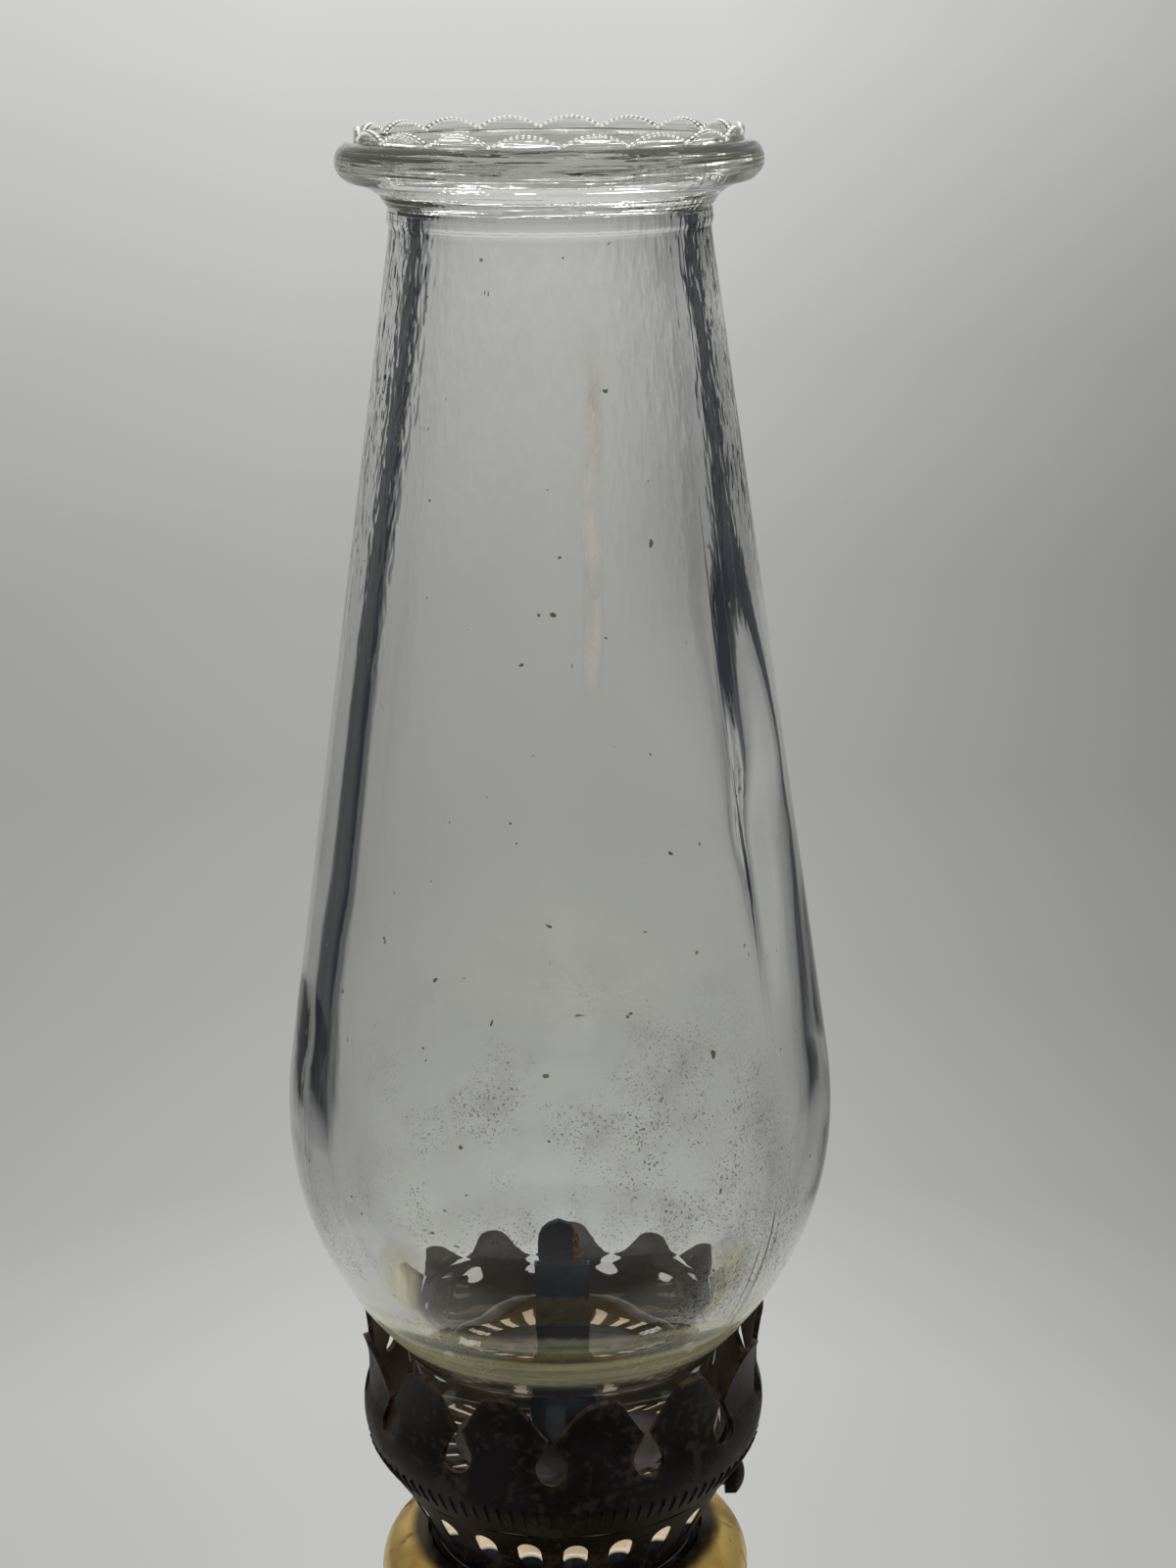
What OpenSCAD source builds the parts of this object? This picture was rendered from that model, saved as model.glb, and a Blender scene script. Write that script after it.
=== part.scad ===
// Small oil lamp: a brass font on a domed foot, a screw-in flat-wick burner with a
// petalled crown and a louvred air basket, and a lift-off pressed-glass chimney.
// Units are millimetres, +Z is up, and the origin is the centre of the foot's resting ring.
// -Y is the front: the broad face of the wick looks that way and the knob is on +X.

/* [Part] */

/* [Glass chimney] */
// radius of the plain fitter at the chimney's foot
fitter_r = 15.9; // [15.2:0.05:16.1]
// height of the fitter, from its rim to the start of the bulb
fitter_h = 12.3; // [11:0.1:14]
// largest radius of the bulb
bulb_r = 27; // [24:0.5:30]
// radius of the curve below the fullest part of the bulb
bulb_low_rad = 33.5; // [31:0.5:36]
// radius of the curve above the fullest part of the bulb
bulb_top_rad = 40; // [36:1:48]
// lean of the tapering upper wall, in degrees
taper_deg = 8.37; // [7.6:0.01:8.6]
// height of the chimney from its rim to the tips of its crimped edge
chimney_h = 131.5; // [128:0.5:135]
// thickness of the blown wall
glass_wall = 1.8; // [1.4:0.1:2.2]
// outer radius of the thick rounded flange at the top
flange_r = 19.6; // [19:0.1:20.6]
// number of scallops crimped in the top edge
scallops = 18; // [14:1:22]
// height of the scallops above the notches between them
scallop_d = 1; // [0.6:0.1:1.4]

/* [Burner crown] */
// fullest radius of the crown's bowl
bowl_r = 20.5; // [20.2:0.1:21]
// radius of the bowl's curve in profile
bowl_rad = 7.6; // [7:0.1:8.4]
// radius of the waist under the petals
waist_r = 19.85; // [19.6:0.05:20]
// height of the crown from its lower edge to the petal tips
crown_h = 16.2; // [15.8:0.1:17]
// number of petals and of the keyholes between them
petals = 13; // [9:1:15]
// radius of a keyhole's round end
keyhole_r = 1.6; // [1.2:0.1:1.8]
// width of the slit that joins a keyhole to the gap above it
keyhole_neck = 1.1; // [0.8:0.1:1.4]
// radius of a petal's rounded tip
petal_tip_r = 1.9; // [1.5:0.1:2.3]

/* [Air basket and air plate] */
// radius of the basket at its upper edge
basket_top_r = 17.5; // [17.5:0.05:17.75]
// radius of the basket at its lower edge
basket_low_r = 13.2; // [13:0.1:13.6]
// height of the basket's cone
basket_h = 8.4; // [8.2:0.1:9]
// number of louvre places round the basket; one is left plain for the spindle
louvres = 22; // [18:1:24]
// width of a louvre's arched mouth
louvre_w = 2.4; // [2:0.1:2.6]
// number of slots in the air plate
plate_slots = 28; // [20:1:32]
// radius of the plain middle of the air plate
plate_mid_r = 10.9; // [9.5:0.1:11.4]

/* [Wick and raiser] */
// width of the flat wick
wick_w = 4.8; // [4:0.1:5.2]
// thickness of the wick
wick_t = 1.3; // [1:0.1:1.5]
// height of the wick's rounded top above the mouth of its tube
wick_show = 6; // [5.2:0.1:8]
// height of the tube's mouth above the petal tips
tube_above = 4; // [2:0.5:6]
// length of wick that hangs inside the font
wick_drop = 31; // [20:1:32]
// radius over the teeth of the two raiser wheels
spur_r = 2.3; // [2:0.1:2.6]
// number of teeth on a raiser wheel
spur_teeth = 9; // [7:1:12]
// radius of the knob on the end of the spindle
knob_r = 2.2; // [1.9:0.1:2.4]

/* [Screw collar] */
// outer radius of the burner's screw ring
screw_r = 11; // [10.4:0.1:11.2]
// length of the screw ring below the pan
screw_h = 5.6; // [5.6:0.1:7]

/* [Font and foot] */
// radius of the drum-shaped font
font_r = 19.1; // [18.8:0.1:20]
// radius of the rounded upper shoulder
shoulder_rad = 4.5; // [4:0.1:5]
// height of the font's top edge above the table
font_top_z = 65.6; // [65:0.1:70]
// height at which the upper and lower font shells meet
seam_z = 44; // [40:1:48]
// height of the underside of the font
font_low_z = 27; // [26.8:0.1:28]
// radius at the edge of the foot
foot_r = 30; // [28:0.5:33]
// height of the foot's dome
foot_h = 18; // [16:0.5:19]

/* [Fits] */
// radial gap between pieces that turn or slide in each other
fit_gap = 0.06; // [0.04:0.01:0.08]
// radial play of the glass inside the kerb that centres it
glass_play = 0.3; // [0.2:0.05:0.5]
// thickness of the thin brass sheet in the burner
sheet = 0.6; // [0.5:0.05:0.7]
// thickness of the brass in the font and foot
shell = 0.9; // [0.8:0.1:1.1]

/* [Hidden] */
$fn = 96;
eps = 0.01;

brass = [0.72, 0.58, 0.28];
dark_brass = [0.20, 0.17, 0.15];
glass = [0.86, 0.90, 0.88, 0.35];
braid = [0.13, 0.14, 0.16];

// heights of the burner, counted up from the pan's underside
recess_d = 1.5;
collar_flange_h = 0.7;
pan_z = font_top_z - recess_d + collar_flange_h;
basket_z = pan_z + sheet;
crown_z = basket_z + basket_h;
plate_z = crown_z + 2.1;
glass_z = plate_z + sheet;
tip_z = crown_z + crown_h;
tube_top_z = tip_z + tube_above;
wick_top_z = tube_top_z + wick_show;

// chimney profile, counted from the glass's own rim
bulb_z = 36.5;
neck_z = 124.5;
neck_r = bulb_r - bulb_top_rad * (1 - cos(taper_deg))
         - (neck_z - bulb_z - bulb_top_rad * sin(taper_deg)) * tan(taper_deg);
flange_bead = 1.9;
flange_z = chimney_h - 3;
mouth_r = flange_r - 4.2;
scallop_turn = 3.8;

// crown profile, counted from the crown's lower edge
bowl_z = 6.7;
bowl_lean = 31;
waist_z = 11.6;
waist_rad = 16.6;
blend_z = 9.2;
keyhole_z = crown_h - 7.2;
petal_low_z = crown_h - 4.5;
petal_pitch = 2 * PI * waist_r / petals;
petal_turn = 11;

// kerb on the air plate
kerb_h = 2;

// louvres
louvre_r = louvre_w / 2;
louvre_step = 360 / louvres;
louvre_turn = 4.3;
plain_louvre = 6;
louvre_top = 1.2;
louvre_sill = 2.5;
flute_wall = 0.45;

// wick tube and raiser
tube_wall = 0.35;
tube_w = wick_w + 2 * tube_wall + 0.5;
tube_t = wick_t + 2 * tube_wall + 0.4;
spur_t = 0.9;
spur_x = 1.45;
spindle_r = 0.7;
spindle_y = wick_t / 2 + spur_r + 0.03;
spindle_z = basket_z + 3.9;
bracket_x = 4;
bracket_wall = 0.5;
bush_r = 1.35;
bush_x0 = 14.2;
bush_x1 = 16.75;
knob_x = 16.85;
knob_l = 2.1;
wick_low_z = pan_z - wick_drop;

// collar, font and foot
collar_r = screw_r + fit_gap + 1.2;
collar_flange_r = 13.9;
collar_z = pan_z - collar_flange_h;
recess_r = 14.3;
shoulder_z = font_top_z - shoulder_rad;
low_rad = 7;
lap = 3;
lap_gap = 0.02;
stem_r = 9;
stem_bead = 2.2;
foot_bead = 1.6;
foot_neck_z = 18;

// Flat ring of given outer and inner radius and height.
module ring(r_out, r_in, h) {
    difference() {
        cylinder(r = r_out, h = h);
        translate([0, 0, -1]) cylinder(r = r_in, h = h + 2);
    }
}

// Solid half profile of the chimney, set in from the outer face by g.
module glass_profile(g) {
    fitter_top = bulb_z - bulb_low_rad + 2;
    translate([0, -g]) square([fitter_r - g, bulb_z]);
    intersection() {
        translate([bulb_r - bulb_low_rad, bulb_z]) circle(r = bulb_low_rad - g);
        translate([0, fitter_h]) square([bulb_r, bulb_z - fitter_h]);
    }
    intersection() {
        translate([bulb_r - bulb_top_rad, bulb_z]) circle(r = bulb_top_rad - g);
        translate([0, bulb_z - eps]) square([bulb_r, bulb_top_rad * sin(taper_deg) + eps]);
    }
    taper_z = bulb_z + (bulb_top_rad - g) * sin(taper_deg);
    taper_r = bulb_r - bulb_top_rad + (bulb_top_rad - g) * cos(taper_deg);
    polygon([[0, taper_z - eps], [taper_r, taper_z - eps], [neck_r - g / cos(taper_deg), neck_z],
             [0, neck_z]]);
}

// The scallops of the crimped edge: arched lobes side by side, each a bar that points outward.
module scallop_lobes(r_in, r_out) {
    half = PI * (r_in + r_out) / 2 / scallops;
    lobe_rad = (half * half + scallop_d * scallop_d) / (2 * scallop_d);
    for (k = [0 : scallops - 1]) {
        rotate([0, 0, k * 360 / scallops + scallop_turn])
            translate([r_in - 2, 0, chimney_h - lobe_rad])
                rotate([0, 90, 0]) cylinder(r = lobe_rad, h = r_out - r_in + 4, $fn = 32);
    }
}

// The chimney: fitter, bulb, tapering wall, thick rounded flange and crimped edge.
module chimney_glass() {
    bead_r = flange_r - flange_bead;
    crimp_r = flange_r - 1.3;
    color(glass) translate([0, 0, glass_z]) difference() {
        union() {
            rotate_extrude() glass_profile(0);
            rotate_extrude() {
                polygon([[0, neck_z - 1], [neck_r, neck_z - 1], [neck_r, neck_z],
                         [bead_r + 0.6, flange_z - flange_bead + 0.2], [bead_r, flange_z], [0, flange_z]]);
                translate([bead_r, flange_z]) circle(r = flange_bead, $fn = 32);
                translate([0, flange_z - eps]) square([bead_r, flange_bead]);
            }
            intersection() {
                translate([0, 0, flange_z]) cylinder(r = crimp_r, h = chimney_h - flange_z);
                scallop_lobes(mouth_r, crimp_r);
            }
        }
        rotate_extrude() {
            glass_profile(glass_wall);
            polygon([[0, neck_z - 1], [neck_r - glass_wall, neck_z - 1], [neck_r - glass_wall, neck_z],
                     [mouth_r, flange_z], [mouth_r + 0.8, chimney_h + 1], [0, chimney_h + 1]]);
        }
    }
}

// Solid half profile of the crown, set in from the outer face by g.
module crown_profile(g) {
    lean_r = bowl_r - bowl_rad + (bowl_rad - g) * cos(bowl_lean);
    lean_z = bowl_z - (bowl_rad - g) * sin(bowl_lean);
    polygon([[0, -1], [lean_r - (lean_z + 1) * tan(bowl_lean), -1], [lean_r, lean_z], [0, lean_z]]);
    intersection() {
        translate([bowl_r - bowl_rad, bowl_z]) circle(r = bowl_rad - g);
        translate([0, lean_z - eps]) square([bowl_r, blend_z - lean_z + 2 * eps]);
    }
    translate([0, lean_z - eps]) square([bowl_r - bowl_rad, blend_z - lean_z + 2 * eps]);
    difference() {
        translate([0, blend_z]) square([waist_r + 2, crown_h - blend_z + 1]);
        translate([waist_r + waist_rad, waist_z]) circle(r = waist_rad + g);
    }
}

// One petal seen flat: straight sides drawn in to a rounded tip.
module petal_outline() {
    half = (petal_pitch - keyhole_neck) / 2;
    rise = crown_h - petal_tip_r - petal_low_z;
    reach = sqrt(half * half + rise * rise);
    slant = atan2(rise, half) + asin(petal_tip_r / reach);
    tx = petal_tip_r * sin(slant);
    tz = crown_h - petal_tip_r + petal_tip_r * cos(slant);
    polygon([[-half, petal_low_z - 0.6], [half, petal_low_z - 0.6], [half, petal_low_z], [tx, tz],
             [-tx, tz], [-half, petal_low_z]]);
    translate([0, crown_h - petal_tip_r]) circle(r = petal_tip_r);
}

// The gap between two petals seen flat: an open notch, a narrow slit and a round keyhole.
module gap_outline() {
    difference() {
        translate([-petal_pitch / 2, petal_low_z]) square([petal_pitch, crown_h - petal_low_z + 1]);
        translate([-petal_pitch / 2, 0]) petal_outline();
        translate([petal_pitch / 2, 0]) petal_outline();
    }
    translate([-keyhole_neck / 2, keyhole_z]) square([keyhole_neck, petal_low_z - keyhole_z + eps]);
    translate([0, keyhole_z]) circle(r = keyhole_r);
}

// The crown: a bowl with a leaning lower wall, cut above into a ring of petals.
module crown_shell() {
    color(dark_brass) translate([0, 0, crown_z]) difference() {
        intersection() {
            rotate_extrude() difference() {
                crown_profile(0);
                crown_profile(sheet);
            }
            cylinder(r = bowl_r + 2, h = crown_h);
        }
        for (k = [0 : petals - 1]) {
            rotate([0, 0, -90 + petal_turn + (k + 0.5) * 360 / petals])
                translate([waist_r - 4, 0, 0]) rotate([90, 0, 90])
                    linear_extrude(height = 8) gap_outline();
        }
    }
}

// The air plate: a thin disc with a low kerb round the glass, slotted round a plain middle.
module air_plate() {
    slot_w = 1.5;
    slot_out = fitter_r - glass_wall - 0.1;
    plate_r = basket_top_r + 0.4;
    kerb_r = fitter_r + glass_play;
    color(dark_brass) translate([0, 0, plate_z]) difference() {
        union() {
            cylinder(r = plate_r, h = sheet);
            ring(kerb_r + sheet, kerb_r, kerb_h);
        }
        translate([-tube_w / 2 - fit_gap, -tube_t / 2 - fit_gap, -1])
            cube([tube_w + 2 * fit_gap, tube_t + 2 * fit_gap, sheet + 2]);
        for (k = [0 : plate_slots - 1]) {
            rotate([0, 0, -90 + (k + 0.5) * 360 / plate_slots])
                translate([plate_mid_r, -slot_w / 2, -1])
                    cube([slot_out - plate_mid_r, slot_w, sheet + 2]);
        }
    }
}

// Solid cone of the basket, set in from its outer face by g.
module basket_cone(g) {
    cylinder(r1 = basket_low_r - g, r2 = basket_top_r - g, h = basket_h);
}

// One pressed-in flute of radius r, sloping less than the wall so that it runs out below.
module flute(r) {
    top_x = basket_top_r - 0.9;
    low_x = basket_low_r + louvre_r + 0.3;
    lean = atan2(top_x - low_x, basket_h);
    translate([low_x, 0, 0]) rotate([0, lean, 0]) translate([0, 0, -1]) cylinder(r = r, h = basket_h + 3);
}

// The arched mouth of one louvre, as a short radial bar.
module louvre_mouth() {
    crest = basket_h - louvre_top - louvre_r;
    translate([basket_low_r - 1, 0, 0]) rotate([90, 0, 90]) linear_extrude(height = 6) {
        translate([0, crest]) circle(r = louvre_r);
        translate([-louvre_r, basket_h - louvre_sill - louvre_top]) square([louvre_w, louvre_sill - louvre_r]);
    }
}

// Turns its children to every louvre place except the plain one.
module at_louvres() {
    for (k = [0 : louvres - 1]) {
        if (k != plain_louvre) rotate([0, 0, -90 + louvre_turn + k * louvre_step]) children();
    }
}

// The basket: a cone with arched louvres lanced inward, and a neck that holds the air plate.
module air_basket() {
    sill_z = basket_h - louvre_top - louvre_sill + 0.5;
    seat_r = basket_top_r - sheet - 0.1;
    color(dark_brass) translate([0, 0, basket_z]) difference() {
        union() {
            difference() {
                basket_cone(0);
                translate([0, 0, -eps]) cylinder(r1 = basket_low_r - sheet, r2 = basket_top_r - sheet,
                                                 h = basket_h + 2 * eps);
            }
            intersection() {
                basket_cone(eps);
                at_louvres() flute(louvre_r + flute_wall);
                cylinder(r = basket_top_r, h = sill_z);
            }
            translate([0, 0, basket_h - sheet]) ring(seat_r + eps, seat_r - sheet, sheet);
            translate([0, 0, basket_h - eps]) ring(seat_r, seat_r - sheet, plate_z - crown_z + eps);
        }
        intersection() {
            at_louvres() flute(louvre_r);
            translate([0, 0, -1]) cylinder(r = basket_top_r + 3, h = sill_z + 1 + eps);
        }
        at_louvres() louvre_mouth();
        translate([bush_x0 - 4, spindle_y, spindle_z - basket_z]) rotate([0, 90, 0])
            cylinder(r = bush_r, h = 12);
    }
}

// The pan: a flat floor under the basket with the slot that the wick tube stands in.
module burner_pan() {
    color(dark_brass) translate([0, 0, pan_z]) difference() {
        cylinder(r = collar_flange_r, h = sheet);
        translate([-tube_w / 2, -tube_t / 2, -1]) cube([tube_w, tube_t, sheet + 2]);
    }
}

// The screw ring under the pan that enters the font's collar.
module burner_screw() {
    color(dark_brass) translate([0, 0, pan_z - screw_h]) ring(screw_r, screw_r - 0.9, screw_h);
}

// The flat wick tube, with two windows in its back for the raiser wheels.
module wick_tube() {
    tube_h = tube_top_z - pan_z + 4;
    color(dark_brass) difference() {
        translate([-tube_w / 2, -tube_t / 2, pan_z - 4]) cube([tube_w, tube_t, tube_h]);
        translate([-tube_w / 2 + tube_wall, -tube_t / 2 + tube_wall, pan_z - 5])
            cube([tube_w - 2 * tube_wall, tube_t - 2 * tube_wall, tube_h + 2]);
        for (x = [-spur_x, spur_x]) {
            translate([x - spur_t / 2 - 0.2, 0, spindle_z - spur_r])
                cube([spur_t + 0.4, tube_t, 2 * spur_r]);
        }
    }
}

// The bracket on the back of the tube: two cheeks and a bridge that carry the spindle.
module raiser_bracket() {
    cheek_h = 2 * (spur_r + 0.3 + bracket_wall);
    deep = spindle_y + 1.6 - tube_t / 2;
    color(dark_brass) translate([0, 0, spindle_z - cheek_h / 2]) difference() {
        union() {
            for (s = [-1, 1]) {
                translate([s * bracket_x - bracket_wall / 2, tube_t / 2, 0]) cube([bracket_wall, deep, cheek_h]);
            }
            translate([-bracket_x, tube_t / 2, cheek_h - bracket_wall])
                cube([2 * bracket_x, deep, bracket_wall]);
            for (s = [-1, 1]) {
                translate([s * bracket_x - (s > 0 ? 1.6 : 0), tube_t / 2, 0]) cube([1.6, bracket_wall, cheek_h]);
            }
        }
        translate([-bracket_x - 1, spindle_y, cheek_h / 2]) rotate([0, 90, 0])
            cylinder(r = spindle_r + fit_gap, h = 2 * bracket_x + 2);
    }
}

// The wick: a flat braid with a rounded top.
module wick() {
    color(braid) translate([0, wick_t / 2, 0]) rotate([90, 0, 0]) linear_extrude(height = wick_t) {
        translate([-wick_w / 2, wick_low_z]) square([wick_w, wick_top_z - wick_w / 2 - wick_low_z]);
        translate([0, wick_top_z - wick_w / 2]) circle(r = wick_w / 2);
    }
}

// The spindle that carries the raiser wheels and the knob.
module spindle() {
    color(dark_brass) translate([-bracket_x - 0.9, spindle_y, spindle_z]) rotate([0, 90, 0])
        cylinder(r = spindle_r, h = bracket_x + 0.9 + knob_x + knob_l - 0.6);
}

// One toothed raiser wheel, at the given place along the spindle.
module spur_wheel(x) {
    root_r = spur_r - 0.6;
    tooth_w = 0.75;
    color(dark_brass) translate([x - spur_t / 2, spindle_y, spindle_z]) rotate([0, 90, 0]) difference() {
        union() {
            cylinder(r = root_r, h = spur_t);
            intersection() {
                cylinder(r = spur_r, h = spur_t);
                for (k = [0 : spur_teeth - 1]) {
                    rotate([0, 0, k * 360 / spur_teeth]) translate([0, -tooth_w / 2, 0])
                        cube([spur_r + 1, tooth_w, spur_t]);
                }
            }
        }
        translate([0, 0, -1]) cylinder(r = spindle_r, h = spur_t + 2);
    }
}

// The left raiser wheel.
module spur_wheel_left() {
    spur_wheel(-spur_x);
}

// The right raiser wheel.
module spur_wheel_right() {
    spur_wheel(spur_x);
}

// The bush set in the basket's wall that the spindle turns in.
module spindle_bush() {
    color(dark_brass) translate([bush_x0, spindle_y, spindle_z]) rotate([0, 90, 0])
        ring(bush_r, spindle_r + fit_gap, bush_x1 - bush_x0);
}

// The knob: a small milled button with a domed end.
module thumb_knob() {
    grooves = 20;
    groove_r = 0.22;
    dome_rad = knob_r * 1.35;
    color(dark_brass) translate([knob_x, spindle_y, spindle_z]) rotate([0, 90, 0]) difference() {
        intersection() {
            cylinder(r = knob_r, h = knob_l);
            translate([0, 0, knob_l - dome_rad]) sphere(r = dome_rad);
        }
        translate([0, 0, -eps]) cylinder(r = spindle_r, h = knob_l - 0.6 + eps);
        for (k = [0 : grooves - 1]) {
            rotate([0, 0, k * 360 / grooves]) translate([knob_r + groove_r * 0.3, 0, -1])
                cylinder(r = groove_r, h = knob_l + 2, $fn = 24);
        }
    }
}

// The collar soldered in the font's top, bored to take the screw ring.
module font_collar() {
    color(brass) difference() {
        union() {
            translate([0, 0, collar_z]) cylinder(r = collar_flange_r, h = collar_flange_h);
            translate([0, 0, pan_z - screw_h - 0.6]) cylinder(r = collar_r, h = screw_h + 0.6);
        }
        translate([0, 0, pan_z - screw_h - 2]) cylinder(r = screw_r + fit_gap, h = screw_h + 4);
    }
}

// Solid half profile of the upper font shell, set in by g.
module upper_profile(g) {
    translate([font_r - shoulder_rad, shoulder_z]) circle(r = shoulder_rad - g);
    translate([0, seam_z - 1]) square([font_r - g, shoulder_z - seam_z + 1]);
    square_w = font_r - shoulder_rad;
    translate([0, shoulder_z - eps]) square([square_w, shoulder_rad - g + eps]);
}

// The upper shell of the font: drum wall, rounded shoulder and shallow recess for the collar.
module font_upper_shell() {
    floor_z = font_top_z - recess_d;
    color(brass) rotate_extrude() difference() {
        union() {
            upper_profile(0);
            translate([font_r, seam_z + 1.1]) circle(r = 0.8);
        }
        difference() {
            upper_profile(shell);
            translate([0, floor_z - shell]) square([recess_r + shell, 2 * recess_d + shell]);
        }
        translate([0, floor_z]) square([recess_r, 2 * recess_d]);
        translate([0, floor_z - 2 * shell]) square([collar_r + lap_gap, 4 * shell]);
        translate([0, seam_z - 2]) square([font_r + 2, 2]);
    }
}

// Solid half profile of the lower font shell, set in by g.
module lower_profile(g) {
    translate([font_r - low_rad, font_low_z + low_rad]) circle(r = low_rad - g);
    translate([0, font_low_z + low_rad]) square([font_r - g, seam_z - font_low_z]);
    translate([0, font_low_z + g]) square([font_r - low_rad, low_rad + 1]);
}

// The lower shell: the font's cup, with a lip that laps inside the upper shell.
module font_lower_shell() {
    lip_r = font_r - shell - lap_gap;
    color(brass) rotate_extrude() difference() {
        union() {
            intersection() {
                lower_profile(0);
                square([font_r + 1, seam_z]);
            }
            translate([font_r, seam_z - 1.1]) circle(r = 0.8);
            translate([0, seam_z - 1]) square([lip_r, lap + 1]);
        }
        intersection() {
            lower_profile(shell);
            square([font_r + 1, seam_z - 1 + eps]);
        }
        translate([0, seam_z - 1]) square([lip_r - shell + 0.2, lap + 2]);
    }
}

// The stem: a turned ring between the font and the foot.
module stem_ring() {
    color(brass) translate([0, 0, foot_neck_z]) rotate_extrude() difference() {
        union() {
            square([stem_r, font_low_z - foot_neck_z]);
            translate([stem_r, (font_low_z - foot_neck_z) / 2]) circle(r = stem_bead);
            translate([0, font_low_z - foot_neck_z - 1.2]) square([stem_r + 1.6, 1.2]);
            square([stem_r + 1.2, 1.2]);
        }
        translate([0, -1]) square([stem_r - 2, font_low_z - foot_neck_z + 2]);
    }
}

// Solid half profile of the foot, set in by g: a hollow sweep from the rim up to the neck.
module foot_profile(g) {
    sweep = 15;
    rim_h = 3.4;
    difference() {
        square([foot_r - g, foot_h - g]);
        translate([foot_r - 2.2 + g * 0.4, rim_h + sweep]) circle(r = sweep + g);
        translate([foot_r - 2.2 + g * 0.4, rim_h + sweep]) square([sweep, sweep]);
    }
}

// The foot: a spun dome with a rolled rim.
module foot_shell() {
    color(brass) rotate_extrude() difference() {
        union() {
            foot_profile(0);
            translate([foot_r - foot_bead + 0.6, foot_bead]) circle(r = foot_bead);
        }
        translate([0, -eps]) intersection() {
            foot_profile(shell);
            square([foot_r - 2.4, foot_h]);
        }
        translate([0, -1]) square([foot_r - 2.4, 2.2]);
    }
}

// The closing plate pressed up into the underside of the foot.
module base_plate() {
    color(brass) translate([0, 0, 0.4]) cylinder(r = foot_r - 2.4 - lap_gap, h = 0.8);
}

chimney_glass();
crown_shell();
air_plate();
air_basket();
burner_pan();
burner_screw();
wick_tube();
raiser_bracket();
wick();
spindle();
spur_wheel_left();
spur_wheel_right();
spindle_bush();
thumb_knob();
font_collar();
font_upper_shell();
font_lower_shell();
stem_ring();
foot_shell();
base_plate();
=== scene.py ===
# %% [markdown]
# # A small oil lamp
# The lamp has a pressed-glass chimney, a dark brass burner with a petalled crown, and a brass
# font on a foot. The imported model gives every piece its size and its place. This script dresses
# them: most pieces keep their mesh and get a finish, and a few get a finer mesh of their own.

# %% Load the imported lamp
import math

import bpy
import numpy as np
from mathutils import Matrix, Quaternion, Vector, geometry


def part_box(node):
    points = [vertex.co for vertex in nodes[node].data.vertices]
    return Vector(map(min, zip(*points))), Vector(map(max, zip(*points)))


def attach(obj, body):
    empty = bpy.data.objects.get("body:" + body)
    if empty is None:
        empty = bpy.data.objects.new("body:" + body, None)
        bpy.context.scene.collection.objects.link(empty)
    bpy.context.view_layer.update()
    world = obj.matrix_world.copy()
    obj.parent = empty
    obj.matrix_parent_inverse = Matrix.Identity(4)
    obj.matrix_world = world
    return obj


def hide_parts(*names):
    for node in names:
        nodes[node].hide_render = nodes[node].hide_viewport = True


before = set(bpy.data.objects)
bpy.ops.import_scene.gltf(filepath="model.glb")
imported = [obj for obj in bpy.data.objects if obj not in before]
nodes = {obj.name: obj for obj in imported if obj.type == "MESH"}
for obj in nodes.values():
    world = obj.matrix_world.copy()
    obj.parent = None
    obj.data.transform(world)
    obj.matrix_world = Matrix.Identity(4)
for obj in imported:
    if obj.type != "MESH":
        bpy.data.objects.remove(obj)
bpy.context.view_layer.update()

print("pieces loaded:", len(nodes))

# %% [markdown]
# Millimetres suit a lamp of this size, but Blender works in metres here. The sizes of the lamp
# below are in millimetres, and are multiplied by MM where they reach a mesh or a node. The
# camera's place, the lights and the shading of the stage are in metres.

# %% Units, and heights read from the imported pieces
MM = 0.001


def low(node):
    """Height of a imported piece's lowest point, in millimetres."""
    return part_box(node)[0][2] / MM


def high(node):
    """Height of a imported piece's highest point, in millimetres."""
    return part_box(node)[1][2] / MM


glass_z, glass_top = low("chimney_glass"), high("chimney_glass")
crown_z, crown_top = low("crown_shell"), high("crown_shell")
wick_low, wick_top = low("wick"), high("wick")
tube_top = high("wick_tube")
print("glass from", round(glass_z, 2), "to", round(glass_top, 2), "mm")

# %% [markdown]
# The camera stands a little above the lamp, close in front of it, and looks down on it. It is
# placed first, so that everything after it can be judged through it.

# %% Camera
cam_data = bpy.data.cameras.new("camera")
cam_data.sensor_fit = "VERTICAL"
cam_data.sensor_height = 36
cam_data.lens = 64.86
camera = bpy.data.objects.new("camera", cam_data)
bpy.context.scene.collection.objects.link(camera)
camera.location = (0.00305, -0.263, 0.22154)
camera.rotation_mode = "QUATERNION"
camera.rotation_quaternion = (Quaternion((1, 0, 0), math.radians(73.915))
                              @ Quaternion((0, 0, 1), math.radians(-0.4717)))
bpy.context.scene.camera = camera
bpy.context.scene.view_settings.view_transform = "Standard"
print("camera at", tuple(camera.location))

# %% [markdown]
# Finishes are node trees. Writing `mask * 2 + 1` is easier to read than three nodes and their
# links, so a small class wraps one output of a node, and Python's own operators add the Math
# nodes. Every other kind of node comes from one method, `node`, which sets the node first and
# then fills or links its sockets.

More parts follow.
